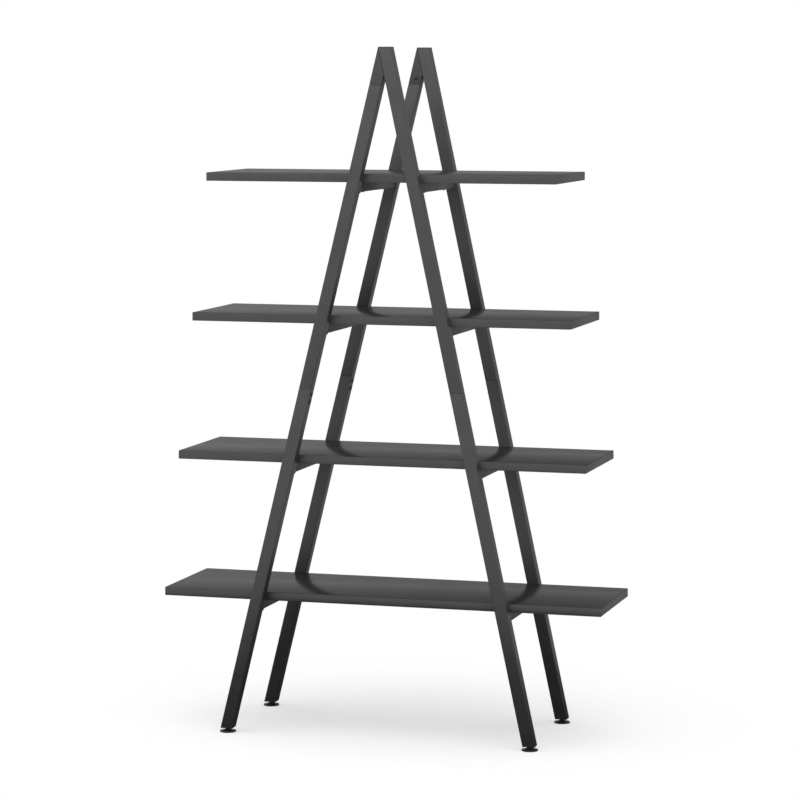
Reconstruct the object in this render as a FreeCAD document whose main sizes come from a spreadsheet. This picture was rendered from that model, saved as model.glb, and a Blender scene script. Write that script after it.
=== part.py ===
import FreeCAD, Part
import math
import os
import Sketcher
import PartDesign

# A four-shelf A-frame bookcase.  Two flat A-frames of square steel tube stand in front of and behind
# the boards.  +X runs along the shelves, -Y is the front, +Z is up, and the origin is on the floor
# under the middle of the bottom shelf.  Every size is in millimetres.

Vector = FreeCAD.Vector
Rotation = FreeCAD.Rotation
Placement = FreeCAD.Placement

# --- Driving sizes ---------------------------------------------------------------------------------

DRIVING_SIZES = {
    "overall_height": 1800,       # floor to the flat top of the A-frames
    "foot_span": 822,             # between the middles of a left and a right leg's lower ends
    "apex_shift": 25.5,           # how far right of the shelves' middle the legs meet
    "leg_lift": 11.5,             # floor to the lower end of the legs
    "tube_width": 32,
    "tube_wall": 1.5,
    "tube_corner": 2,
    "shelf_depth": 325,           # also the clear gap between the two A-frames
    "board_thickness": 22,
    "band_thickness": 1,
    "band_corner": 0.6,
    "apex_rise": 324.5,           # the top board's upper face to the flat top
    "top_shelf_length": 936.5,
    "shelf_growth": 82.5,         # each board is this much longer than the one above it
    "shelf_pitch": 366.5,
    "bar_size": 25,
    "bar_corner": 1.5,
    "mid_seam_drop": 190,         # second board's upper face to where upper and lower legs meet
    "top_seam_drop": 25.6,        # from where the legs part down to the seam under the apex stub
    "sleeve_gap": 0.2,
    "sleeve_reach": 45,           # how far a sleeve runs each way from the mid seam
    "apex_sleeve_drop": 2,        # from where the legs part down to the apex sleeve
    "cap_thickness": 2,
    "bolt_diameter": 6,
    "bolt_hole_gap": 0.3,
    "bolt_length": 12,
    "bolt_head_diameter": 12,
    "bolt_head_height": 3.4,
    "bolt_socket": 4,
    "first_bolt_drop": 10,        # from the mid seam down to each of a joint's two bolts
    "second_bolt_drop": 30,
    "apex_bolt_rise": 17,         # from the top seam up to its one bolt
    "nut_width": 10,
    "nut_height": 5,
    "screw_diameter": 4.5,
    "screw_hole_gap": 0.25,
    "screw_head_diameter": 9,
    "screw_head_height": 2.6,
    "screw_bite": 14,             # how deep a shelf screw goes into its board
    "screw_spacing": 190,
    "plug_height": 25,
    "plug_gap": 0.1,
    "stud_diameter": 8,
    "stud_gap": 0.05,
    "stud_top": 42,
    "stud_chamfer": 1,
    "collar_width": 13,
    "collar_gap": 0.3,
    "neck_diameter": 6,
    "button_diameter": 10,
    "button_height": 2.2,
    "pad_diameter": 43,
    "pad_thickness": 5,
    "pad_rim_round": 1.2,
    "pad_boss_diameter": 17,
    "pad_boss_top": 6.4,
    "pad_floor": 1.6,
    "pad_play": 0.3,
}

SHELVES = (1, 2, 3, 4)
ROWS = {"front": -1, "rear": 1}
SIDES = {"left": -1, "right": 1}

document = FreeCAD.newDocument("bookcase")
sheet = document.addObject("Spreadsheet::Sheet", "Sizes")
for row_number, (size_name, size_value) in enumerate(DRIVING_SIZES.items(), 1):
    sheet.set(f"A{row_number}", size_name)
    sheet.set(f"B{row_number}", str(size_value))
    sheet.setAlias(f"B{row_number}", size_name)
document.recompute()

nodes = []


def size(name):
    """The number in the sheet's cell, for the few shapes that are set by code."""
    return float(sheet.get(name))


# --- Where things are, as expressions on the sheet ----------------------------------------------------

LEG_RISE = "(Sizes.overall_height - Sizes.leg_lift)"
SLOPES = {
    "left": f"((Sizes.foot_span / 2 + Sizes.apex_shift) / {LEG_RISE})",
    "right": f"((Sizes.apex_shift - Sizes.foot_span / 2) / {LEG_RISE})",
}
LEG_TOP = "(Sizes.overall_height - Sizes.cap_thickness)"
TOP_SHELF = "(Sizes.overall_height - Sizes.apex_rise)"
MID_SEAM = f"({TOP_SHELF} - Sizes.shelf_pitch - Sizes.mid_seam_drop)"
SLEEVE_WIDTH = "(Sizes.tube_width - 2 * Sizes.tube_wall - 2 * Sizes.sleeve_gap)"
PLUG_WIDTH = "(Sizes.tube_width - 2 * Sizes.tube_wall - 2 * Sizes.plug_gap)"
BOLT_HOLE = "(Sizes.bolt_diameter + 2 * Sizes.bolt_hole_gap)"
SCREW_HOLE = "(Sizes.screw_diameter + 2 * Sizes.screw_hole_gap)"


def leg_x(side, height):
    """The middle of a leg at a height above the floor."""
    return f"({SIDES[side]} * Sizes.foot_span / 2 + {SLOPES[side]} * ({height} - Sizes.leg_lift))"


def row_y(row):
    return f"({ROWS[row]} * (Sizes.shelf_depth + Sizes.tube_width) / 2)"


def stretch(slope):
    """A leaning tube is this much wider in a level cut than square across."""
    return f"sqrt(1 + {slope} ^ 2)"


def board_underside(shelf):
    return f"({TOP_SHELF} - Sizes.board_thickness - {shelf - 1} * Sizes.shelf_pitch)"


LEGS_PART = (f"(Sizes.overall_height - Sizes.tube_width * ({stretch(SLOPES['left'])}"
             f" + {stretch(SLOPES['right'])}) / 2 / ({SLOPES['left']} - {SLOPES['right']}))")
TOP_SEAM = f"({LEGS_PART} - Sizes.top_seam_drop)"


def shelf_length(shelf):
    return f"(Sizes.top_shelf_length + {shelf - 1} * Sizes.shelf_growth)"


def bar_x(side, shelf):
    return leg_x(side, f"({board_underside(shelf)} - Sizes.bar_size / 2)")


# --- Shared modelling steps -----------------------------------------------------------------------------

def place(item, x="0", y="0", z="0"):
    item.setExpression("Placement.Base.x", x)
    item.setExpression("Placement.Base.y", y)
    item.setExpression("Placement.Base.z", z)


def new_body(label, x="0", y="0", z="0", is_node=True):
    body = document.addObject("PartDesign::Body", label)
    body.Label = label
    place(body, x, y, z)
    if is_node:
        nodes.append(body)
    return body


def new_sketch(body, name, plane_role):
    sketch = body.newObject("Sketcher::SketchObject", name)
    plane = next(item for item in body.Origin.OriginFeatures if item.Role == plane_role)
    sketch.AttachmentSupport = [(plane, "")]
    sketch.MapMode = "FlatFace"
    return sketch


def bind(sketch, kind, references, expression, start_value):
    index = sketch.addConstraint(Sketcher.Constraint(kind, *references, start_value))
    sketch.setExpression(f"Constraints[{index}]", expression)


def draw_rectangle(sketch, width, depth):
    """A rectangle about the sketch's origin."""
    first = sketch.GeometryCount
    corners = [Vector(-5, -5), Vector(5, -5), Vector(5, 5), Vector(-5, 5)]
    for index in range(4):
        sketch.addGeometry(Part.LineSegment(corners[index], corners[(index + 1) % 4]), False)
    for index in range(4):
        following = first + (index + 1) % 4
        sketch.addConstraint(Sketcher.Constraint("Coincident", first + index, 2, following, 1))
        direction = ("Horizontal", "Vertical")[index % 2]
        sketch.addConstraint(Sketcher.Constraint(direction, first + index))
    sketch.addConstraint(Sketcher.Constraint("Symmetric", first, 1, first + 1, 2, -1, 1))
    bind(sketch, "DistanceX", (first, 1, first, 2), width, 10)
    bind(sketch, "DistanceY", (first + 1, 1, first + 1, 2), depth, 10)


def draw_circle(sketch, diameter, across, up):
    """A circle whose middle is at (across, up) from the sketch's origin."""
    index = sketch.addGeometry(Part.Circle(Vector(1, 1), Vector(0, 0, 1), 2), False)
    bind(sketch, "Diameter", (index,), diameter, 4)
    bind(sketch, "DistanceX", (-1, 1, index, 3), across, 1)
    bind(sketch, "DistanceY", (-1, 1, index, 3), up, 1)


def pad(body, sketch, length, slope=None, both_ways=False):
    feature = body.newObject("PartDesign::Pad", "run")
    feature.Profile = sketch
    feature.setExpression("Length", length)
    feature.Midplane = both_ways
    if slope:
        feature.UseCustomVector = True
        feature.AlongSketchNormal = True
        feature.Direction = Vector(0, 0, 1)
        feature.setExpression("Direction.x", slope)
    return feature


def round_outer_edges(body, feature, radius, along, width_axis, count=4):
    """Rounds the long outer edges of a straight piece."""
    document.recompute()
    reach = max(abs(getattr(vertex.Point, width_axis)) for vertex in feature.Shape.Vertexes)
    names = []
    for number, edge in enumerate(feature.Shape.Edges, 1):
        direction = edge.Vertexes[-1].Point - edge.Vertexes[0].Point
        runs_along = abs(getattr(direction.normalize(), along)) > 0.9
        is_outer = all(abs(getattr(vertex.Point, width_axis)) > reach - 0.01 for vertex in edge.Vertexes)
        if runs_along and is_outer:
            names.append(f"Edge{number}")
    assert len(names) == count, f"{body.Label}: {len(names)} long edges instead of {count}"
    fillet = body.newObject("PartDesign::Fillet", "corners")
    fillet.Base = (feature, names)
    fillet.setExpression("Radius", radius)
    return fillet


def drill(body, sketch, forward=True, length=None):
    """Cuts the sketch's circles along its normal, or against it."""
    document.recompute()
    before = body.Shape.Volume
    pocket = body.newObject("PartDesign::Pocket", "holes")
    pocket.Profile = sketch
    pocket.Reversed = forward
    if length:
        pocket.setExpression("Length", length)
    else:
        pocket.Type = "ThroughAll"
    document.recompute()
    assert pocket.Shape.Volume < before - 1, f"{body.Label}: the holes cut nothing"
    return pocket


def leaning_tube(label, row, side, bottom, top, width, rounded=True, hollow=True, is_node=True):
    """A length of square tube that follows a leg's line and is cut level at both ends."""
    slope = SLOPES[side]
    body = new_body(label, leg_x(side, bottom), row_y(row), bottom, is_node)
    section = new_sketch(body, "level_section", "XY_Plane")
    draw_rectangle(section, f"{width} * {stretch(slope)}", width)
    if hollow:
        bore = f"({width} - 2 * Sizes.tube_wall)"
        draw_rectangle(section, f"{bore} * {stretch(slope)}", bore)
    tube = pad(body, section, f"{top} - {bottom}", slope)
    if rounded:
        round_outer_edges(body, tube, "Sizes.tube_corner", "z", "y")
    return body


def drill_side_face(body, side, bottom, heights):
    """Bolt holes square through the wall that faces the other leg, at heights above the floor."""
    slope = SLOPES[side]
    sketch = new_sketch(body, "side_holes", "YZ_Plane")
    sketch.AttachmentOffset = Placement(Vector(), Rotation(Vector(1, 0, 0), 1))
    sketch.setExpression("AttachmentOffset.Rotation.Angle", f"atan({slope})")
    for height in heights:
        draw_circle(sketch, BOLT_HOLE, "0", f"({height} - {bottom}) * {stretch(slope)}")
    drill(body, sketch, forward=side == "left", length="Sizes.tube_width")


def drill_flat_face(body, row, side, bottom, height):
    """One bolt hole through the wall that faces the shelves."""
    sketch = new_sketch(body, "flat_hole", "XZ_Plane")
    rise = f"({height} - {bottom})"
    draw_circle(sketch, BOLT_HOLE, f"{SLOPES[side]} * {rise}", rise)
    drill(body, sketch, forward=row == "rear", length="Sizes.tube_width")


# --- Shelves: a board, its edge band all round, two cross bars and four screws --------------------------

SCREW_PLACES = [(side, sign) for side in SIDES for sign in (-1, 1)]

for shelf in SHELVES:
    underside = board_underside(shelf)
    core_length = f"({shelf_length(shelf)} - 2 * Sizes.band_thickness)"
    core_depth = "(Sizes.shelf_depth - 2 * Sizes.band_thickness)"

    board = new_body(f"shelf_board_{shelf}", z=underside)
    outline = new_sketch(board, "outline", "XY_Plane")
    draw_rectangle(outline, core_length, core_depth)
    pad(board, outline, "Sizes.board_thickness")
    pilots = new_sketch(board, "screw_pilots", "XY_Plane")
    for side, sign in SCREW_PLACES:
        draw_circle(pilots, SCREW_HOLE, bar_x(side, shelf), f"{sign} * Sizes.screw_spacing / 2")
    drill(board, pilots, length="Sizes.screw_bite + Sizes.screw_hole_gap")

    band = new_body(f"edge_band_{shelf}", z=underside)
    ring = new_sketch(band, "ring", "XY_Plane")
    draw_rectangle(ring, shelf_length(shelf), "Sizes.shelf_depth")
    draw_rectangle(ring, core_length, core_depth)
    strip = pad(band, ring, "Sizes.board_thickness")
    round_outer_edges(band, strip, "Sizes.band_corner", "z", "y")

    for side in SIDES:
        bar = new_body(f"cross_bar_{side}_{shelf}", bar_x(side, shelf), "0",
                       f"{underside} - Sizes.bar_size / 2")
        square = new_sketch(bar, "section", "XZ_Plane")
        draw_rectangle(square, "Sizes.bar_size", "Sizes.bar_size")
        inside = "(Sizes.bar_size - 2 * Sizes.tube_wall)"
        draw_rectangle(square, inside, inside)
        run = pad(bar, square, "Sizes.shelf_depth", both_ways=True)
        round_outer_edges(bar, run, "Sizes.bar_corner", "y", "x")
        clearance_holes = new_sketch(bar, "screw_holes", "XY_Plane")
        for sign in (-1, 1):
            draw_circle(clearance_holes, SCREW_HOLE, "0", f"{sign} * Sizes.screw_spacing / 2")
        clearance_holes.setExpression("AttachmentOffset.Base.z", "-Sizes.bar_size")
        drill(bar, clearance_holes)

# --- Legs: a lower and an upper tube with a sleeve in each, and a welded stub at each apex ----------------

JOINT_BOLT_HEIGHTS = [f"({MID_SEAM} - Sizes.{name})"
                      for name in ("first_bolt_drop", "second_bolt_drop")]
APEX_BOLT_HEIGHT = f"({TOP_SEAM} + Sizes.apex_bolt_rise)"
SLEEVE_FOOT = f"({MID_SEAM} - Sizes.sleeve_reach)"
SLEEVE_HEAD = f"({MID_SEAM} + Sizes.sleeve_reach)"
APEX_SLEEVE_FOOT = f"({TOP_SEAM} - Sizes.sleeve_reach)"
APEX_SLEEVE_HEAD = f"({LEGS_PART} - Sizes.apex_sleeve_drop)"
UPPER_LEG_TOPS = {"left": TOP_SEAM, "right": LEG_TOP}

for row in ROWS:
    for side in SIDES:
        place_name = f"{row}_{side}"
        lower = leaning_tube(f"lower_leg_{place_name}", row, side, "Sizes.leg_lift", MID_SEAM,
                             "Sizes.tube_width")
        drill_side_face(lower, side, "Sizes.leg_lift", JOINT_BOLT_HEIGHTS)
        leaning_tube(f"upper_leg_{place_name}", row, side, MID_SEAM, UPPER_LEG_TOPS[side],
                     "Sizes.tube_width")
        sleeve = leaning_tube(f"joint_sleeve_{place_name}", row, side, SLEEVE_FOOT, SLEEVE_HEAD,
                              SLEEVE_WIDTH, rounded=False)
        drill_side_face(sleeve, side, SLEEVE_FOOT, JOINT_BOLT_HEIGHTS)

    apex_sleeve = leaning_tube(f"apex_sleeve_{row}", row, "left", APEX_SLEEVE_FOOT, APEX_SLEEVE_HEAD,
                               SLEEVE_WIDTH, rounded=False)
    drill_flat_face(apex_sleeve, row, "left", APEX_SLEEVE_FOOT, APEX_BOLT_HEIGHT)

    # The stub is a short left leg whose upper end is trimmed to the side of the right leg.
    blank = leaning_tube(f"stub_blank_{row}", row, "left", TOP_SEAM, LEG_TOP, "Sizes.tube_width",
                         is_node=False)
    drill_flat_face(blank, row, "left", TOP_SEAM, APEX_BOLT_HEIGHT)
    trim = leaning_tube(f"stub_trim_{row}", row, "right", MID_SEAM, "Sizes.overall_height",
                        "Sizes.tube_width", rounded=False, hollow=False, is_node=False)
    stub = document.addObject("Part::Cut", f"apex_stub_{row}")
    stub.Label = f"apex_stub_{row}"
    stub.Base = blank
    stub.Tool = trim
    nodes.append(stub)

    cap = new_body(f"apex_cap_{row}", leg_x("right", LEG_TOP), row_y(row), LEG_TOP)
    cap_outline = new_sketch(cap, "outline", "XY_Plane")
    draw_rectangle(cap_outline, f"Sizes.tube_width * {stretch(SLOPES['right'])}", "Sizes.tube_width")
    plate = pad(cap, cap_outline, "Sizes.cap_thickness", SLOPES["right"])
    round_outer_edges(cap, plate, "Sizes.tube_corner", "z", "y")

# --- Feet: a threaded plug in each leg, a levelling stud and a pad that swivels on it -------------------

COLLAR_TOP = "(Sizes.leg_lift - Sizes.collar_gap)"
COLLAR_FOOT = "(Sizes.pad_boss_top + Sizes.collar_gap)"
BUTTON_FOOT = "(Sizes.pad_floor + Sizes.pad_play)"


def cylinder(name, diameter, bottom, top):
    item = document.addObject("Part::Cylinder", name)
    item.setExpression("Radius", f"{diameter} / 2")
    item.setExpression("Height", f"{top} - {bottom}")
    item.setExpression("Placement.Base.z", bottom)
    return item


def join(name, pieces):
    item = document.addObject("Part::MultiFuse", name)
    item.Shapes = pieces
    return item


def cut(name, base, tool):
    item = document.addObject("Part::Cut", name)
    item.Base = base
    item.Tool = tool
    return item


def foot_pad(label):
    disc = cylinder("disc", "Sizes.pad_diameter", "0", "Sizes.pad_thickness")
    document.recompute()
    rims = [number for number, edge in enumerate(disc.Shape.Edges, 1)
            if len(edge.Vertexes) == 1 and edge.BoundBox.ZLength < 0.01]
    rounded = document.addObject("Part::Fillet", "rounded_disc")
    rounded.Base = disc
    round_size = size("pad_rim_round")
    rounded.Edges = [(number, round_size, round_size) for number in rims]
    boss = cylinder("boss", "Sizes.pad_boss_diameter", "Sizes.pad_floor", "Sizes.pad_boss_top")
    button_room = cylinder("button_room", "Sizes.button_diameter + 2 * Sizes.pad_play",
                           "Sizes.pad_floor", f"{BUTTON_FOOT} + Sizes.button_height + Sizes.pad_play")
    mouth = cylinder("mouth", "Sizes.neck_diameter + 2 * Sizes.pad_play", "Sizes.pad_floor",
                     "Sizes.pad_boss_top + 1")
    return cut(label, join("solid_pad", [rounded, boss]), join("socket", [button_room, mouth]))


def foot_stud(label):
    button = cylinder("button", "Sizes.button_diameter", BUTTON_FOOT,
                      f"{BUTTON_FOOT} + Sizes.button_height")
    neck = cylinder("neck", "Sizes.neck_diameter", BUTTON_FOOT, COLLAR_TOP)
    collar = document.addObject("Part::Prism", "collar")
    collar.Polygon = 6
    collar.setExpression("Circumradius", "Sizes.collar_width / sqrt(3)")
    collar.setExpression("Height", f"{COLLAR_TOP} - {COLLAR_FOOT}")
    collar.setExpression("Placement.Base.z", COLLAR_FOOT)
    shank_top = "(Sizes.stud_top - Sizes.stud_chamfer)"
    shank = cylinder("shank", "Sizes.stud_diameter", COLLAR_FOOT, shank_top)
    tip = document.addObject("Part::Cone", "tip")
    tip.setExpression("Radius1", "Sizes.stud_diameter / 2")
    tip.setExpression("Radius2", "Sizes.stud_diameter / 2 - Sizes.stud_chamfer")
    tip.setExpression("Height", "Sizes.stud_chamfer")
    tip.setExpression("Placement.Base.z", shank_top)
    return join(label, [button, neck, collar, shank, tip])


for row in ROWS:
    for side in SIDES:
        place_name = f"{row}_{side}"
        foot_x = leg_x(side, "Sizes.leg_lift")
        plug = leaning_tube(f"foot_plug_{place_name}", row, side, "Sizes.leg_lift",
                            "(Sizes.leg_lift + Sizes.plug_height)", PLUG_WIDTH,
                            rounded=False, hollow=False)
        bore = new_sketch(plug, "thread_bore", "XY_Plane")
        draw_circle(bore, "Sizes.stud_diameter + 2 * Sizes.stud_gap", "0", "0")
        drill(plug, bore)
        for label, make in ((f"foot_pad_{place_name}", foot_pad), (f"foot_stud_{place_name}", foot_stud)):
            piece = make(label)
            piece.Label = label
            place(piece, foot_x, row_y(row))
            nodes.append(piece)

document.recompute()

# --- Fasteners: one pattern of each kind, copied to every place it is used --------------------------------

def value(expression):
    """The number that an expression on the sheet comes to."""
    return float(sheet.evalExpression(expression))


def seat(side, row, height):
    """The middle of a leg at a height above the floor."""
    return Vector(value(leg_x(side, height)), value(row_y(row)), value(height))


def bolt_shape():
    """A button-head bolt: its head sits on z = 0 and its shank runs down."""
    shank = Part.makeCylinder(size("bolt_diameter") / 2, size("bolt_length"), Vector(0, 0, 0),
                              Vector(0, 0, -1))
    head_radius = size("bolt_head_diameter") / 2
    head_height = size("bolt_head_height")
    flat_radius = size("bolt_socket") / 2 + 1
    profile = Part.Wire([
        Part.makeLine(Vector(0, 0, 0), Vector(head_radius, 0, 0)),
        Part.Arc(Vector(head_radius, 0, 0),
                 Vector(0.86 * head_radius, 0, 0.62 * head_height),
                 Vector(flat_radius, 0, head_height)).toShape(),
        Part.makeLine(Vector(flat_radius, 0, head_height), Vector(0, 0, head_height)),
        Part.makeLine(Vector(0, 0, head_height), Vector(0, 0, 0)),
    ])
    head = Part.Face(profile).revolve(Vector(0, 0, 0), Vector(0, 0, 1), 360)
    socket = hexagon(size("bolt_socket"), head_height)
    socket.translate(Vector(0, 0, 0.4 * head_height))
    return head.fuse(shank).cut(socket).removeSplitter()


def hexagon(width, height):
    radius = width / math.sqrt(3)
    corners = [Vector(radius * math.cos(math.radians(60 * k)), radius * math.sin(math.radians(60 * k)), 0)
               for k in range(7)]
    return Part.Face(Part.makePolygon(corners)).extrude(Vector(0, 0, height))


def nut_shape():
    """A hexagon nut whose upper face is on z = 0."""
    nut = hexagon(size("nut_width"), size("nut_height"))
    nut.translate(Vector(0, 0, -size("nut_height")))
    bore = Part.makeCylinder(size("bolt_diameter") / 2 + size("stud_gap"), 3 * size("nut_height"),
                             Vector(0, 0, -2 * size("nut_height")))
    return nut.cut(bore)


def screw_shape():
    """A shelf screw: its head hangs below z = 0 and its shank runs up."""
    shank_length = size("bar_size") + size("screw_bite")
    shank = Part.makeCylinder(size("screw_diameter") / 2, shank_length)
    head = Part.makeCone(size("screw_head_diameter") / 2 - 1, size("screw_head_diameter") / 2,
                         size("screw_head_height"), Vector(0, 0, -size("screw_head_height")))
    return head.fuse(shank).removeSplitter()


def add_group(label, shape, placements):
    """One node that holds a copy of the shape at each placement."""
    copies = []
    for placement in placements:
        copy = shape.copy()
        copy.Placement = placement
        copies.append(copy)
    item = document.addObject("Part::Feature", label)
    item.Label = label
    item.Shape = Part.makeCompound(copies)
    nodes.append(item)


def side_bolt_places(row, side, sink):
    """Where the two bolts of a leg joint go, sunk this far in from the tube's side face."""
    lean = math.degrees(math.atan(value(SLOPES[side])))
    inward = Rotation(Vector(0, 1, 0), lean).multVec(Vector(-SIDES[side], 0, 0))
    reach = size("tube_width") / 2 - sink
    return [Placement(seat(side, row, height) + inward * reach, Rotation(Vector(0, 0, 1), inward))
            for height in JOINT_BOLT_HEIGHTS]


def apex_bolt_place(row, sink):
    inward = Vector(0, -ROWS[row], 0)
    reach = size("tube_width") / 2 - sink
    place = seat("left", row, APEX_BOLT_HEIGHT) + inward * reach
    return Placement(place, Rotation(Vector(0, 0, 1), inward))


bolt = bolt_shape()
nut = nut_shape()
screw = screw_shape()
nut_sink = 2 * size("tube_wall") + size("sleeve_gap")

for row in ROWS:
    for side in SIDES:
        add_group(f"joint_bolts_{row}_{side}", bolt, side_bolt_places(row, side, 0))
    row_nut_places = side_bolt_places(row, "left", nut_sink) + side_bolt_places(row, "right", nut_sink)
    add_group(f"joint_nuts_{row}", nut, row_nut_places)
add_group("apex_bolts", bolt, [apex_bolt_place(row, 0) for row in ROWS])
add_group("apex_nuts", nut, [apex_bolt_place(row, nut_sink) for row in ROWS])

for shelf in SHELVES:
    bar_foot = value(f"{board_underside(shelf)} - Sizes.bar_size")
    screw_seats = [Vector(value(bar_x(side, shelf)), sign * size("screw_spacing") / 2, bar_foot)
                   for side, sign in SCREW_PLACES]
    add_group(f"shelf_screws_{shelf}", screw, [Placement(spot, Rotation()) for spot in screw_seats])

# --- Check every object, then write one file per node ---------------------------------------------------

document.recompute()
for item in document.Objects:
    assert not {"Invalid", "Error"} & set(item.State), f"{item.Label}: {item.State}"
labels = [node.Label for node in nodes]
assert len(set(labels)) == len(labels) <= 60, f"{len(labels)} nodes"
for node in nodes:
    assert not node.Shape.isNull() and node.Shape.isValid(), node.Label

os.makedirs("parts", exist_ok=True)
for node in nodes:
    node.Shape.exportStep(f"parts/{node.Label}.step")
print(len(nodes), "nodes written")
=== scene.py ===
import math

import bpy
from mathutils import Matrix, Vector


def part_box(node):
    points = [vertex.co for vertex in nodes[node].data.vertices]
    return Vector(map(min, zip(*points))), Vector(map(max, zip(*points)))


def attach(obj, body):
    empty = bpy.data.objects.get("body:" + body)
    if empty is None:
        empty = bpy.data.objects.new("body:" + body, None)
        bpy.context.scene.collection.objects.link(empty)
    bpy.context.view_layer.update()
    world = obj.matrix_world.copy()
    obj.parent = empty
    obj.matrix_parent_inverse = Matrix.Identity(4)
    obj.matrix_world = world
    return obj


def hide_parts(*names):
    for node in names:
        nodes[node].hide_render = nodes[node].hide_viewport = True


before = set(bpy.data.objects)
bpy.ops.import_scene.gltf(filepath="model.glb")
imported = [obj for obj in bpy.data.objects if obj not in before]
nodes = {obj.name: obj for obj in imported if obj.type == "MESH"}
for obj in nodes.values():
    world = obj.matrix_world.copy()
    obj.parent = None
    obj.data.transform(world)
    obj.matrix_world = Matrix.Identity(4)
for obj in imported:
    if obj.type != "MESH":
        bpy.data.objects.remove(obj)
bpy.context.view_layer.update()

bpy.ops.object.select_all(action="DESELECT")


# --- The legs' lines ------------------------------------------------------------------------------
# Two flat A-frames of square steel tube, one in front of the boards and one behind them.  Every leg
# runs straight from its levelling foot to the flat top of its A-frame, where the two legs of a
# frame meet, so a foot and an apex plate are enough to place all the tubes.
ROWS = ("front", "rear")
SIDES = ("left", "right")
SHELVES = (1, 2, 3, 4)
TUBE = 0.032


def middle(node):
    low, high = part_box(node)
    return (low + high) / 2


def leg_line(row, side):
    """A leg's foot and its apex: the two ends of the middle line of its tubes."""
    leg_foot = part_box(f"lower_leg_{row}_{side}")[0].z
    plate, right_pad = middle(f"apex_cap_{row}"), middle(f"foot_pad_{row}_right")
    plate_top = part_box(f"apex_cap_{row}")[1].z
    lean = (plate.x - right_pad.x) / (plate.z - leg_foot)
    pad = middle(f"foot_pad_{row}_{side}")
    apex = Vector((plate.x + lean * (plate_top - plate.z), pad.y, plate_top))
    return Vector((pad.x, pad.y, leg_foot)), apex


def leg_slope(row, side):
    foot, apex = leg_line(row, side)
    return (apex.x - foot.x) / (apex.z - foot.z)


def leg_point(row, side, height):
    foot, apex = leg_line(row, side)
    return foot + (apex - foot) * ((height - foot.z) / (apex.z - foot.z))


# --- Powder coat on the steel ---------------------------------------------------------------------
# The frames are welded, then sprayed with black polyester powder and baked.  That leaves a dull
# satin skin with a fine orange-peel texture, a little shinier in some places than others.
# A noise pattern mostly lies between these two values, so they are taken as its whole range.
NOISE_LOW, NOISE_HIGH = 0.3, 0.7
SPECKLE_DARK, SPECKLE_LIGHT = 0.12, 0.40


def srgb(code):
    """The linear colour of an sRGB hex value."""
    parts = [int(code[start:start + 2], 16) / 255 for start in (0, 2, 4)]
    linear = [part / 12.92 if part <= 0.04045 else ((part + 0.055) / 1.055) ** 2.4
              for part in parts]
    return (*linear, 1.0)


def add_node(tree, kind, settings=None, links=None, **properties):
    """Adds one node, with its properties, its input values and what feeds its inputs."""
    node = tree.nodes.new(kind)
    for name, value in properties.items():
        setattr(node, name, value)
    for name, value in (settings or {}).items():
        node.inputs[name].default_value = value
    for name, source in (links or {}).items():
        tree.links.new(source, node.inputs[name])
    return node


def new_material(name):
    """A material with one Principled shader, and the coordinates that its patterns read."""
    material = bpy.data.materials.new(name)
    material.use_nodes = True
    tree = material.node_tree
    shader = tree.nodes["Principled BSDF"]
    coordinates = add_node(tree, "ShaderNodeTexCoord")
    return material, tree, shader, coordinates.outputs["Object"]


def speckled_finish(name, dark, light, patch_mm, grain_mm, bump_mm, rough_low, rough_high,
                    **shader_values):
    """A finish whose colour drifts over large patches, and whose skin has a fine raised grain."""
    material, tree, shader, place = new_material(name)
    patches = add_node(tree, "ShaderNodeTexNoise",
                       {"Scale": 1000 / patch_mm, "Detail": 3.0, "Roughness": 0.55},
                       {"Vector": place})
    grain = add_node(tree, "ShaderNodeTexNoise",
                     {"Scale": 1000 / grain_mm, "Detail": 2.0, "Roughness": 0.6}, {"Vector": place})
    blend = add_node(tree, "ShaderNodeMath", operation="MULTIPLY",
                     links={0: patches.outputs["Fac"], 1: grain.outputs["Fac"]})
    colour = add_node(tree, "ShaderNodeValToRGB", links={"Fac": blend.outputs[0]})
    colour.color_ramp.elements[0].position = SPECKLE_DARK
    colour.color_ramp.elements[0].color = srgb(dark)
    colour.color_ramp.elements[1].position = SPECKLE_LIGHT
    colour.color_ramp.elements[1].color = srgb(light)
    gloss = add_node(tree, "ShaderNodeMapRange",
                     {"From Min": NOISE_LOW, "From Max": NOISE_HIGH,
                      "To Min": rough_low, "To Max": rough_high},
                     {"Value": patches.outputs["Fac"]})
    bump = add_node(tree, "ShaderNodeBump", {"Strength": 0.6, "Distance": bump_mm / 1000},
                    {"Height": grain.outputs["Fac"]})
    tree.links.new(colour.outputs["Color"], shader.inputs["Base Color"])
    tree.links.new(gloss.outputs["Result"], shader.inputs["Roughness"])
    tree.links.new(bump.outputs["Normal"], shader.inputs["Normal"])
    for socket, value in shader_values.items():
        shader.inputs[socket.replace("_", " ")].default_value = value
    return material


# Orange peel is about 1 mm across; it is drawn at 2.2 mm so that it shows.
powder_coat = speckled_finish("black_powder_coated_steel", "2b2b2c", "343435", patch_mm=90,
                              grain_mm=2.2, bump_mm=0.06, rough_low=0.34, rough_high=0.42)


# --- Leg tubes ------------------------------------------------------------------------------------
# Cold-formed 32 mm square tube with 1.5 mm walls and 2 mm corners, sawn level at both ends.  The
# sawn rims are broken with a file, which leaves the fine dark groove seen where two tubes meet.
# LEVEL is how near its axis a face's normal lies when the face counts as square to it, and TINY is
# how near two heights lie when they count as one.
TUBE_CORNER = 0.002
TUBE_WALL = 0.0015
RIM_BREAK = 0.0006
SEAM_GAP = 0.0004
SMOOTH_BELOW = 35
HOLLOW_SHARE = 0.3
LEVEL = 0.9
TINY = 1e-5


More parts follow.
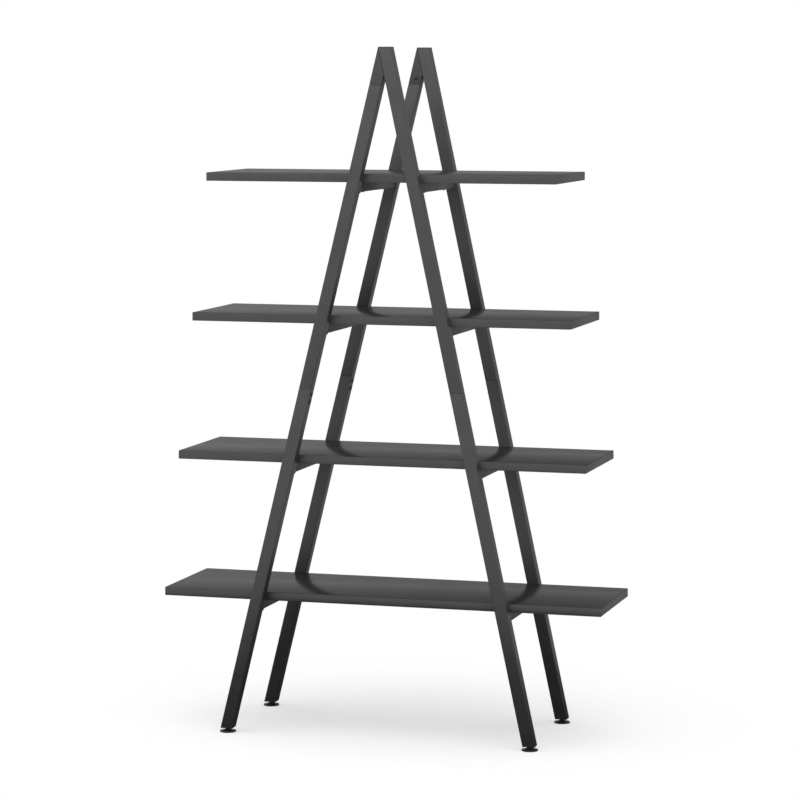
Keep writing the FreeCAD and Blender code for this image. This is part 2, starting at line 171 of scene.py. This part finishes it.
def select_faces(mesh_object, wanted):
    """In edit mode, selects the faces whose centre and normal pass a test."""
    bpy.ops.mesh.select_mode(type="FACE")
    bpy.ops.mesh.select_all(action="DESELECT")
    bpy.ops.object.mode_set(mode="OBJECT")
    for face in mesh_object.data.polygons:
        face.select = wanted(face.center, face.normal)
    bpy.ops.object.mode_set(mode="EDIT")


def select_edges(mesh_object, wanted):
    """In edit mode, selects the edges whose two ends pass a test."""
    bpy.ops.mesh.select_mode(type="EDGE")
    bpy.ops.mesh.select_all(action="DESELECT")
    bpy.ops.object.mode_set(mode="OBJECT")
    vertices = mesh_object.data.vertices
    for edge in mesh_object.data.edges:
        edge.select = wanted(vertices[edge.vertices[0]].co, vertices[edge.vertices[1]].co)
    bpy.ops.object.mode_set(mode="EDIT")


def finish_piece(piece, name, materials, body, replaced=()):
    """Bakes the place into the mesh, names and paints the piece, puts it on its body, hides what it
    replaces.
    """
    piece.name = name
    piece.data.name = name
    bpy.ops.object.select_all(action="DESELECT")
    piece.select_set(True)
    bpy.context.view_layer.objects.active = piece
    bpy.ops.object.transform_apply(location=True, rotation=True, scale=True)
    bpy.ops.object.shade_smooth_by_angle(angle=math.radians(SMOOTH_BELOW))
    for material in materials if isinstance(materials, tuple) else (materials,):
        piece.data.materials.append(material)
    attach(piece, body)
    if replaced:
        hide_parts(*replaced)
    bpy.ops.object.select_all(action="DESELECT")


def add_block(size, place):
    """A box of a size at a place, with its scale applied, left in object mode."""
    bpy.ops.mesh.primitive_cube_add(size=1, location=place)
    block = bpy.context.object
    block.scale = size
    bpy.ops.object.transform_apply(location=False, rotation=False, scale=True)
    return block


def hollow_tube(low_middle, high_middle, width, corner, rim, axis="z"):
    """A square tube between two points, rounded along its corners and open at both ends."""
    run = high_middle - low_middle
    length = run.z if axis == "z" else run.y
    slope = run.x / length
    across = width * math.sqrt(1 + slope * slope)
    size = (across, width, length) if axis == "z" else (across, length, width)
    tube = add_block(size, (low_middle + high_middle) / 2)
    along = 2 if axis == "z" else 1
    bpy.ops.object.mode_set(mode="EDIT")
    select_edges(tube, lambda one, two: abs(one[along] - two[along]) > length / 2)
    bpy.ops.mesh.bevel(offset=corner, segments=3)
    for end in (-1, 1):
        select_faces(tube, lambda centre, normal: normal[along] * end > LEVEL)
        bpy.ops.mesh.inset(thickness=TUBE_WALL)
        depth = [0.0, 0.0, 0.0]
        depth[along] = -end * HOLLOW_SHARE * length
        bpy.ops.mesh.extrude_region_move(TRANSFORM_OT_translate={"value": depth})
    half = length / 2
    select_edges(tube, lambda one, two: min(abs(one[along]), abs(two[along])) > half - TINY)
    bpy.ops.mesh.bevel(offset=rim, segments=2)
    bpy.ops.object.mode_set(mode="OBJECT")
    for vertex in tube.data.vertices:
        vertex.co.x += slope * vertex.co[along]
    return tube


for row in ROWS:
    for side in SIDES:
        for part in ("lower", "upper"):
            node = f"{part}_leg_{row}_{side}"
            low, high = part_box(node)
            bottom = low.z + (SEAM_GAP if part == "upper" else 0)
            leans_free = side == "left" and part == "upper"
            top = high.z - (SEAM_GAP if leans_free else 0)
            tube = hollow_tube(leg_point(row, side, bottom), leg_point(row, side, top),
                               TUBE, TUBE_CORNER, RIM_BREAK)
            finish_piece(tube, f"{part}_tube_{row}_{side}", powder_coat, "frame",
                         (node,))

# --- Apex stubs, plates and welds -----------------------------------------------------------------
# Each right leg runs up to the flat top, where a plate closes it.  A short stub for the left leg
# is mitred to its side and welded, and the weld is dressed flush, so only a fine groove is left.
PLATE_BREAK = 0.0008
PLATE_UPRIGHT = 0.001    # an edge of the plate that climbs more than this is one of its corners

for row in ROWS:
    stub_node = f"apex_stub_{row}"
    low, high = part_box(stub_node)
    stub = hollow_tube(leg_point(row, "left", low.z + SEAM_GAP), leg_point(row, "left", high.z),
                       TUBE, TUBE_CORNER, RIM_BREAK)
    right_slope = leg_slope(row, "right")
    stretch = math.sqrt(1 + right_slope ** 2)
    on_face = leg_point(row, "right", low.z) - Vector((TUBE * stretch / 2, 0, 0))
    face_normal = Vector((1, 0, -right_slope)).normalized()
    bpy.ops.object.mode_set(mode="EDIT")
    bpy.ops.mesh.select_all(action="SELECT")
    bpy.ops.mesh.bisect(plane_co=on_face, plane_no=face_normal, use_fill=True, clear_outer=True)
    bpy.ops.object.mode_set(mode="OBJECT")
    finish_piece(stub, f"apex_stub_tube_{row}", powder_coat, "frame",
                 (stub_node,))

    plate_low, plate_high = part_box(f"apex_cap_{row}")
    plate = add_block(plate_high - plate_low, (plate_low + plate_high) / 2)
    bpy.ops.object.mode_set(mode="EDIT")
    select_edges(plate, lambda one, two: abs(one.z - two.z) > PLATE_UPRIGHT)
    bpy.ops.mesh.bevel(offset=TUBE_CORNER, segments=3)
    select_edges(plate, lambda one, two: one.z > 0 and two.z > 0)
    bpy.ops.mesh.bevel(offset=PLATE_BREAK, segments=2)
    bpy.ops.object.mode_set(mode="OBJECT")
    finish_piece(plate, f"apex_plate_{row}", powder_coat, "frame",
                 (f"apex_cap_{row}",))

# --- Boards ---------------------------------------------------------------------------------------
# 22 mm particle board faced with black melamine.  The paper is pressed against a satin plate, so
# the upper face mirrors the legs in a long soft blur, over a faint pore texture.
BOARD_ARRIS = 0.0004
PORE_MM, PORE_STRETCH, PORE_DEPTH = 2.0, 0.12, 0.00003
CLOUD_MM = 160
MELAMINE_ROUGH = (0.20, 0.25)


def smooth_all_over(piece):
    """Smooth shading tilts the normals of flat faces, which bends reflections into soft curves."""
    bpy.context.view_layer.objects.active = piece
    piece.select_set(True)
    bpy.ops.object.shade_smooth()
    piece.select_set(False)


melamine, tree, shader, place = new_material("black_melamine_board")
stretched = add_node(tree, "ShaderNodeMapping", {"Scale": (PORE_STRETCH, 1.0, 1.0)},
                     {"Vector": place})
pores = add_node(tree, "ShaderNodeTexNoise", {"Scale": 1000 / PORE_MM, "Detail": 3.0},
                 {"Vector": stretched.outputs["Vector"]})
clouds = add_node(tree, "ShaderNodeTexNoise", {"Scale": 1000 / CLOUD_MM, "Detail": 2.0},
                  {"Vector": place})
colour = add_node(tree, "ShaderNodeValToRGB", links={"Fac": pores.outputs["Fac"]})
colour.color_ramp.elements[0].position = NOISE_LOW
colour.color_ramp.elements[0].color = srgb("1c1c1d")
colour.color_ramp.elements[1].position = NOISE_HIGH
colour.color_ramp.elements[1].color = srgb("252526")
gloss = add_node(tree, "ShaderNodeMapRange",
                 {"From Min": NOISE_LOW, "From Max": NOISE_HIGH,
                  "To Min": MELAMINE_ROUGH[0], "To Max": MELAMINE_ROUGH[1]},
                 {"Value": clouds.outputs["Fac"]})
bump = add_node(tree, "ShaderNodeBump", {"Strength": 0.15, "Distance": PORE_DEPTH},
                {"Height": pores.outputs["Fac"]})
tree.links.new(colour.outputs["Color"], shader.inputs["Base Color"])
tree.links.new(gloss.outputs["Result"], shader.inputs["Roughness"])
tree.links.new(bump.outputs["Normal"], shader.inputs["Normal"])

for shelf in SHELVES:
    low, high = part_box(f"shelf_board_{shelf}")
    board = add_block(high - low, (low + high) / 2)
    bpy.ops.object.mode_set(mode="EDIT")
    select_edges(board, lambda one, two: one.z * two.z > 0)
    bpy.ops.mesh.bevel(offset=BOARD_ARRIS, segments=2)
    bpy.ops.object.mode_set(mode="OBJECT")
    finish_piece(board, f"board_{shelf}", melamine, "frame",
                 (f"shelf_board_{shelf}",))
    smooth_all_over(board)

# --- Edge bands -----------------------------------------------------------------------------------
# A 1 mm strip of black ABS, glued hot round all four edges of a board and trimmed flush.
# Its upward faces along the top arris are painted near black and dull: a painted shade line.
BAND = 0.001
BAND_ARRIS = 0.0009
ARRIS_UPWARD = 0.3       # how far up a face of the band looks when it takes the painted shade line
edge_banding = speckled_finish("black_abs_edge_band", "2c2c2d", "363637", patch_mm=120,
                               grain_mm=1.8, bump_mm=0.03, rough_low=0.34, rough_high=0.42)
# Painted shade: the band's top arris is near black and dull, so it reads as a dark line.
arris_shade_line = speckled_finish("abs_arris_painted_shade", "0b0b0b", "121212", patch_mm=40,
                              grain_mm=0.5, bump_mm=0.02, rough_low=0.75, rough_high=0.85,
                              Specular_IOR_Level=0.2)

for shelf in SHELVES:
    low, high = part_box(f"edge_band_{shelf}")
    band = add_block(high - low, (low + high) / 2)
    bpy.ops.object.mode_set(mode="EDIT")
    select_faces(band, lambda centre, normal: abs(normal.z) > LEVEL)
    bpy.ops.mesh.inset(thickness=BAND)
    bpy.ops.mesh.bridge_edge_loops()
    outer = (high - low) / 2
    select_edges(band, lambda one, two: (max(abs(one.x), abs(two.x)) > outer.x - TINY
                                         or max(abs(one.y), abs(two.y)) > outer.y - TINY))
    bpy.ops.mesh.bevel(offset=BAND_ARRIS, segments=3)
    bpy.ops.object.mode_set(mode="OBJECT")
    # Faces that look upward take the painted shade line.
    for face in band.data.polygons:
        if face.normal.z > ARRIS_UPWARD:
            face.material_index = 1
    finish_piece(band, f"band_{shelf}", (edge_banding, arris_shade_line), "frame",
                 (f"edge_band_{shelf}",))
    smooth_all_over(band)

# --- Cross bars -----------------------------------------------------------------------------------
# Level 25 mm square tubes, sawn square, that run under each board from a front leg to a rear leg.
# The board lies on them and is screwed down through them.
BAR_CORNER = 0.0015
BAR_RIM = 0.0003

for shelf in SHELVES:
    for side in SIDES:
        node = f"cross_bar_{side}_{shelf}"
        low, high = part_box(node)
        bar_middle = (low + high) / 2
        bar = hollow_tube(Vector((bar_middle.x, low.y, bar_middle.z)),
                          Vector((bar_middle.x, high.y, bar_middle.z)),
                          high.x - low.x, BAR_CORNER, BAR_RIM, axis="y")
        finish_piece(bar, f"bar_{side}_{shelf}", powder_coat, "frame", (node,))

# --- Welds at the bars' ends ----------------------------------------------------------------------
# A 3 mm MIG fillet runs down both sides of a bar's end and along its underside.  The board lies on
# top, so there is none there.  The bead is rippled, and powder-coated with the rest.
WELD_LEG = 0.003
WELD_RIPPLE = 0.0004
WELD_SUNK = 0.0002
RIPPLE_LENGTH = 0.0022

ripples = bpy.data.textures.new("weld_ripples", type="CLOUDS")
ripples.noise_scale = RIPPLE_LENGTH

low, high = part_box("cross_bar_left_1")
bar_width, bar_height = high.x - low.x, high.z - low.z
weld = add_block((bar_width + 2 * WELD_LEG, WELD_LEG, bar_height + 2 * WELD_LEG), (0, 0, 0))
bpy.ops.object.mode_set(mode="EDIT")
select_faces(weld, lambda centre, normal: normal.y > LEVEL)
bpy.ops.transform.resize(value=(bar_width / (bar_width + 2 * WELD_LEG), 1,
                                bar_height / (bar_height + 2 * WELD_LEG)))
bpy.ops.mesh.select_all(action="SELECT")
bpy.ops.mesh.bevel(offset=WELD_LEG / 4, segments=2)
bpy.ops.mesh.select_all(action="SELECT")
bpy.ops.mesh.subdivide(number_cuts=3)
bpy.ops.mesh.select_all(action="SELECT")
bpy.ops.mesh.bisect(plane_co=(0, 0, bar_height / 2 - WELD_SUNK), plane_no=(0, 0, 1), use_fill=True,
                    clear_outer=True)
bpy.ops.object.mode_set(mode="OBJECT")
roughen = weld.modifiers.new("ripples", "DISPLACE")
roughen.texture = ripples
roughen.strength = WELD_RIPPLE
roughen.mid_level = 0.5
bpy.ops.object.modifier_apply(modifier=roughen.name)

for shelf in SHELVES:
    for side in SIDES:
        low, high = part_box(f"cross_bar_{side}_{shelf}")
        for row, end, turn in (("front", low.y + WELD_LEG / 2, 0),
                               ("rear", high.y - WELD_LEG / 2, math.pi)):
            bead = weld.copy()
            bead.data = weld.data.copy()
            bpy.context.scene.collection.objects.link(bead)
            bead.location = ((low.x + high.x) / 2, end, (low.z + high.z) / 2)
            bead.rotation_euler = (0, 0, turn)
            finish_piece(bead, f"weld_{row}_{side}_{shelf}", powder_coat, "frame")
bpy.data.objects.remove(weld)

# --- Foot pads ------------------------------------------------------------------------------------
# A 43 mm swivel pad of glass-filled nylon, moulded in one.  Its rim is rounded over, its top dishes
# up to a boss, and the stud's button snaps into the socket in the boss.
PAD_FLANGE = 0.0036
PAD_RIM_ROUND = 0.0014
PAD_STEPS = ((0.0022, 0.0004), (0.0055, 0.0006), (0.0034, 0.0006))
PAD_MOUTH = 0.0051
moulded_nylon = speckled_finish("black_moulded_nylon", "161617", "1f1f20", patch_mm=12,
                                grain_mm=0.7, bump_mm=0.015, rough_low=0.22, rough_high=0.28)


def select_top(mesh_object):
    """Selects the topmost level face, and gives back its height."""
    bpy.ops.object.mode_set(mode="OBJECT")
    height = max(vertex.co.z for vertex in mesh_object.data.vertices)
    bpy.ops.object.mode_set(mode="EDIT")
    select_faces(mesh_object,
                 lambda centre, normal: normal.z > LEVEL and centre.z > height - TINY)
    return height


low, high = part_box("foot_pad_front_left")
pad_radius, pad_top = (high.x - low.x) / 2, high.z
bpy.ops.mesh.primitive_cylinder_add(vertices=64, radius=pad_radius, depth=PAD_FLANGE,
                                    location=(0, 0, PAD_FLANGE / 2))
pad = bpy.context.object
bpy.ops.object.transform_apply(location=True, rotation=False, scale=False)
bpy.ops.object.mode_set(mode="EDIT")
select_edges(pad, lambda one, two: abs(one.z - two.z) < TINY and abs(one.z) > TINY)
bpy.ops.mesh.bevel(offset=PAD_RIM_ROUND, segments=4)
for inwards, upwards in PAD_STEPS:
    select_top(pad)
    bpy.ops.mesh.inset(thickness=inwards)
    bpy.ops.transform.translate(value=(0, 0, upwards))
dished = select_top(pad)
bpy.ops.mesh.extrude_region_move(TRANSFORM_OT_translate={"value": (0, 0, pad_top - dished)})
bpy.ops.mesh.inset(thickness=PAD_MOUTH)
bpy.ops.mesh.extrude_region_move(TRANSFORM_OT_translate={"value": (0, 0, -pad_top / 2)})
select_edges(pad, lambda one, two: abs(one.z) < TINY and abs(two.z) < TINY)
bpy.ops.mesh.bevel(offset=PAD_RIM_ROUND / 3, segments=2)
bpy.ops.object.mode_set(mode="OBJECT")


def copy_to_feet(pattern, name, material, body, node):
    """A copy of a pattern at each of the four feet, with its own mesh."""
    for row in ROWS:
        for side in SIDES:
            where = middle(f"foot_pad_{row}_{side}")
            piece = pattern.copy()
            piece.data = pattern.data.copy()
            bpy.context.scene.collection.objects.link(piece)
            piece.location = (where.x, where.y, 0)
            finish_piece(piece, f"{name}_{row}_{side}", material, f"{row}_{side}_{body}",
                         (f"{node}_{row}_{side}",))
    bpy.data.objects.remove(pattern)


copy_to_feet(pad, "pad", moulded_nylon, "pad", "foot_pad")

# --- Levelling studs ------------------------------------------------------------------------------
# An M8 stud with a rolled thread of 1.25 mm pitch, a 13 mm hexagon for the spanner and a button
# that snaps into the pad.  It is zinc plated and passivated black.
THREAD_PITCH = 0.00125
THREAD_CREST = 0.004
THREAD_DEPTH = 0.0006
HEXAGON = 0.013
HEXAGON_GAP = 0.0003
NECK_RADIUS = 0.003
BUTTON_RADIUS = 0.005
BUTTON_HEIGHT = 0.0022
HEXAGON_BREAK = 0.0004
STEPS_PER_TURN = 24
black_zinc = speckled_finish("black_zinc_plated_steel", "3a3a3c", "505052", patch_mm=6,
                             grain_mm=0.8, bump_mm=0.02, rough_low=0.28, rough_high=0.4,
                             Metallic=1.0)

low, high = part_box("foot_stud_front_left")
leg_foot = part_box("lower_leg_front_left")[0].z
hexagon_foot, hexagon_top = pad_top + HEXAGON_GAP, leg_foot - HEXAGON_GAP

# The thread's core, with a chamfered tip.
core_radius = THREAD_CREST - THREAD_DEPTH
core_top = high.z - THREAD_DEPTH
bpy.ops.mesh.primitive_cylinder_add(vertices=32, radius=core_radius, depth=core_top - hexagon_foot,
                                    location=(0, 0, (core_top + hexagon_foot) / 2))
core = bpy.context.object
bpy.ops.object.transform_apply(location=True, rotation=False, scale=False)
bpy.ops.object.mode_set(mode="EDIT")
select_top(core)
bpy.ops.mesh.inset(thickness=THREAD_DEPTH)
bpy.ops.transform.translate(value=(0, 0, THREAD_DEPTH))
bpy.ops.object.mode_set(mode="OBJECT")

# The ridge: a small diamond carried up a helix.
turns = int((high.z - hexagon_top - 2 * THREAD_PITCH) / THREAD_PITCH)
bpy.ops.mesh.primitive_circle_add(vertices=4, radius=THREAD_DEPTH, rotation=(math.pi / 2, 0, 0),
                                  location=(core_radius, 0, hexagon_top + THREAD_PITCH))
ridge = bpy.context.object
bpy.ops.object.transform_apply(location=True, rotation=True, scale=False)
helix = ridge.modifiers.new("helix", "SCREW")
helix.axis = "Z"
helix.screw_offset = THREAD_PITCH
helix.iterations = turns
helix.steps = helix.render_steps = STEPS_PER_TURN
bpy.ops.object.modifier_apply(modifier=helix.name)
bpy.ops.object.mode_set(mode="EDIT")
bpy.ops.mesh.select_all(action="SELECT")
bpy.ops.mesh.normals_make_consistent(inside=False)
bpy.ops.object.mode_set(mode="OBJECT")

# The hexagon, with its corners turned off.
bpy.ops.mesh.primitive_cylinder_add(vertices=6, radius=HEXAGON / math.sqrt(3),
                                    depth=hexagon_top - hexagon_foot,
                                    location=(0, 0, (hexagon_top + hexagon_foot) / 2))
hexagon = bpy.context.object
bpy.ops.object.mode_set(mode="EDIT")
bpy.ops.mesh.select_all(action="SELECT")
bpy.ops.mesh.bevel(offset=HEXAGON_BREAK, segments=2)
bpy.ops.object.mode_set(mode="OBJECT")

# The neck and the button under it.
bpy.ops.mesh.primitive_cylinder_add(vertices=32, radius=BUTTON_RADIUS, depth=BUTTON_HEIGHT,
                                    location=(0, 0, low.z + BUTTON_HEIGHT / 2))
button = bpy.context.object
bpy.ops.object.transform_apply(location=True, rotation=False, scale=False)
bpy.ops.object.mode_set(mode="EDIT")
select_top(button)
bpy.ops.mesh.inset(thickness=BUTTON_RADIUS - NECK_RADIUS)
bpy.ops.mesh.extrude_region_move(
    TRANSFORM_OT_translate={"value": (0, 0, hexagon_foot - low.z - BUTTON_HEIGHT)})
bpy.ops.object.mode_set(mode="OBJECT")

bpy.ops.object.select_all(action="DESELECT")
for part in (core, ridge, hexagon, button):
    part.select_set(True)
bpy.context.view_layer.objects.active = core
bpy.ops.object.join()
copy_to_feet(core, "stud", black_zinc, "stud", "foot_stud")

# --- Plugs, sleeves and fasteners -----------------------------------------------------------------
# These are seen only at a seam, in a bolt hole or from below, so the solids keep their shape.
# Plugs are moulded and bolts and screws blackened; the bare drawn sleeves get painted shade.
def paint(node_names, material):
    for name in node_names:
        mesh = nodes[name].data
        mesh.materials.clear()
        mesh.materials.append(material)


black_oxide = speckled_finish("black_oxide_steel", "141415", "202021", patch_mm=5, grain_mm=0.6,
                              bump_mm=0.02, rough_low=0.3, rough_high=0.42)
# Painted shade: the sleeves are dull dark grey, so seams between tubes stay dark where they show.
sleeve_painted_shade = speckled_finish("sleeve_steel_painted_shade", "1a1a1b", "2a2a2b",
                                   patch_mm=10, grain_mm=0.9, bump_mm=0.02,
                                   rough_low=0.5, rough_high=0.62)
plug_nylon = speckled_finish("black_plug_nylon", "141415", "1c1c1d", patch_mm=14, grain_mm=0.8,
                             bump_mm=0.03, rough_low=0.42, rough_high=0.52)
paint([name for name in nodes if name.startswith(("joint_nuts", "apex_nuts"))], black_zinc)
paint([name for name in nodes if name.startswith("foot_plug")], plug_nylon)
paint([name for name in nodes if name.startswith(("joint_bolts", "apex_bolts", "shelf_screws"))],
      black_oxide)
paint([name for name in nodes if "sleeve" in name], sleeve_painted_shade)

# --- Camera ---------------------------------------------------------------------------------------
# A long lens a little to the right of the front, just under the apex and looking slightly down.
CAMERA_PLACE = (2.308, -7.808, 1.7492)
CAMERA_DOWN, CAMERA_ROUND = 6.1205, 16.396    # degrees below level, and round from the front
CAMERA_LENS, CAMERA_SENSOR = 139.87, 36       # in millimetres
CAMERA_REACH = 200
camera_data = bpy.data.cameras.new("camera")
camera = bpy.data.objects.new("camera", camera_data)
bpy.context.scene.collection.objects.link(camera)
camera.location = CAMERA_PLACE
camera.rotation_euler = (math.radians(90 - CAMERA_DOWN), 0, math.radians(CAMERA_ROUND))
camera_data.lens = CAMERA_LENS
camera_data.sensor_width = CAMERA_SENSOR
camera_data.clip_end = CAMERA_REACH
bpy.context.scene.camera = camera

# --- Floor ----------------------------------------------------------------------------------------
# The floor is a round white sheet that fades out into the white cyclorama.  It looks white, but
# sends no light back up, so the legs grow darker towards their feet.
FLOOR_RADIUS = 1.25
FADE_FROM, FADE_TO = 0.25, 1.1
FADE_LEAST = 0.48
FLOOR_SEEN, FLOOR_BOUNCE = 0.9, 0.08    # how white the camera sees it, and the object
bpy.ops.mesh.primitive_circle_add(vertices=96, radius=FLOOR_RADIUS, fill_type="NGON")
floor = bpy.context.object
floor.name = "floor"
floor_paint = bpy.data.materials.new("white_floor")
floor_paint.use_nodes = True
tree = floor_paint.node_tree
tree.nodes.remove(tree.nodes["Principled BSDF"])
place = add_node(tree, "ShaderNodeTexCoord").outputs["Object"]
distance = add_node(tree, "ShaderNodeVectorMath", links={0: place}, operation="LENGTH")
fade = add_node(tree, "ShaderNodeMapRange",
                {"From Min": FADE_FROM, "From Max": FADE_TO, "To Min": FADE_LEAST},
                {"Value": distance.outputs["Value"]}, interpolation_type="SMOOTHSTEP")
white = add_node(tree, "ShaderNodeBsdfDiffuse", {"Color": (FLOOR_SEEN, FLOOR_SEEN, FLOOR_SEEN, 1)})
black = add_node(tree, "ShaderNodeBsdfDiffuse",
                 {"Color": (FLOOR_BOUNCE, FLOOR_BOUNCE, FLOOR_BOUNCE, 1)})
clear = add_node(tree, "ShaderNodeBsdfTransparent")
sheet = add_node(tree, "ShaderNodeMixShader",
                 links={0: fade.outputs["Result"], 1: white.outputs[0], 2: clear.outputs[0]})
rays = add_node(tree, "ShaderNodeLightPath")
seen = add_node(tree, "ShaderNodeMixShader",
                links={0: rays.outputs["Is Camera Ray"], 1: black.outputs[0], 2: sheet.outputs[0]})
tree.links.new(seen.outputs[0], tree.nodes["Material Output"].inputs["Surface"])
floor.data.materials.append(floor_paint)

# --- Studio light ---------------------------------------------------------------------------------
# The studio is white all round and strongest in front.  Behind the object it is dim, and a little
# brighter low down and to the left, so the boards' tops stay dark and grow lighter to the rear.
FRONT_LIGHT = 1.17
SIDE_LIGHT = 1.02
BACK_LIGHT = 0.27
BACK_HIGHER = 0.9
BACK_LEFTWARD = 1.5
BACK_RIGHTWARD = 1.7
world = bpy.data.worlds.new("studio")
bpy.context.scene.world = world
world.use_nodes = True
tree = world.node_tree
tree.nodes.clear()
direction = add_node(tree, "ShaderNodeTexCoord").outputs["Generated"]
parts = add_node(tree, "ShaderNodeSeparateXYZ", links={0: direction})
ramps = {}
for name, axis, start, end, at_start, at_end in (
        ("front", "Y", -1.0, 0.0, FRONT_LIGHT, SIDE_LIGHT),
        ("away", "Y", 0.0, 0.7, 0.0, 1.0),
        ("higher", "Z", 0.02, 0.25, BACK_LIGHT, BACK_LIGHT * BACK_HIGHER),
        ("leftward", "X", -0.5, -0.2, BACK_LEFTWARD, 1.0),
        ("rightward", "X", 0.0, 0.3, 1.0, BACK_RIGHTWARD)):
    ramps[name] = add_node(tree, "ShaderNodeMapRange",
                           {"From Min": start, "From Max": end,
                            "To Min": at_start, "To Max": at_end},
                           {"Value": parts.outputs[axis]}).outputs["Result"]
sideways = add_node(tree, "ShaderNodeMath", links={0: ramps["leftward"], 1: ramps["rightward"]},
                    operation="MULTIPLY")
behind = add_node(tree, "ShaderNodeMath", links={0: ramps["higher"], 1: sideways.outputs[0]},
                  operation="MULTIPLY")
strength = add_node(tree, "ShaderNodeMix", data_type="FLOAT",
                    links={"Factor": ramps["away"], "A": ramps["front"], "B": behind.outputs[0]})
studio = add_node(tree, "ShaderNodeBackground", links={"Strength": strength.outputs["Result"]})
backdrop = add_node(tree, "ShaderNodeBackground", {"Strength": 1.0})
for background in (studio, backdrop):
    background.inputs["Color"].default_value = (1, 1, 1, 1)
rays = add_node(tree, "ShaderNodeLightPath")
sky = add_node(tree, "ShaderNodeMixShader",
               links={0: rays.outputs["Is Camera Ray"], 1: studio.outputs[0],
                      2: backdrop.outputs[0]})
add_node(tree, "ShaderNodeOutputWorld", links={"Surface": sky.outputs[0]})
bpy.context.scene.view_settings.view_transform = "Standard"

# One wide softbox hangs a little in front of the object and lays its soft shadow round the feet.
SOFTBOX_PLACE = Vector((-0.3, -0.8, 3.8))
SOFTBOX_SIZE = 4.6
SOFTBOX_POWER = 90
softbox_data = bpy.data.lights.new("softbox", "AREA")
softbox_data.size = SOFTBOX_SIZE
softbox_data.energy = SOFTBOX_POWER
softbox = bpy.data.objects.new("softbox", softbox_data)
bpy.context.scene.collection.objects.link(softbox)
softbox.location = SOFTBOX_PLACE
softbox.rotation_euler = (-SOFTBOX_PLACE).to_track_quat("-Z", "Y").to_euler()
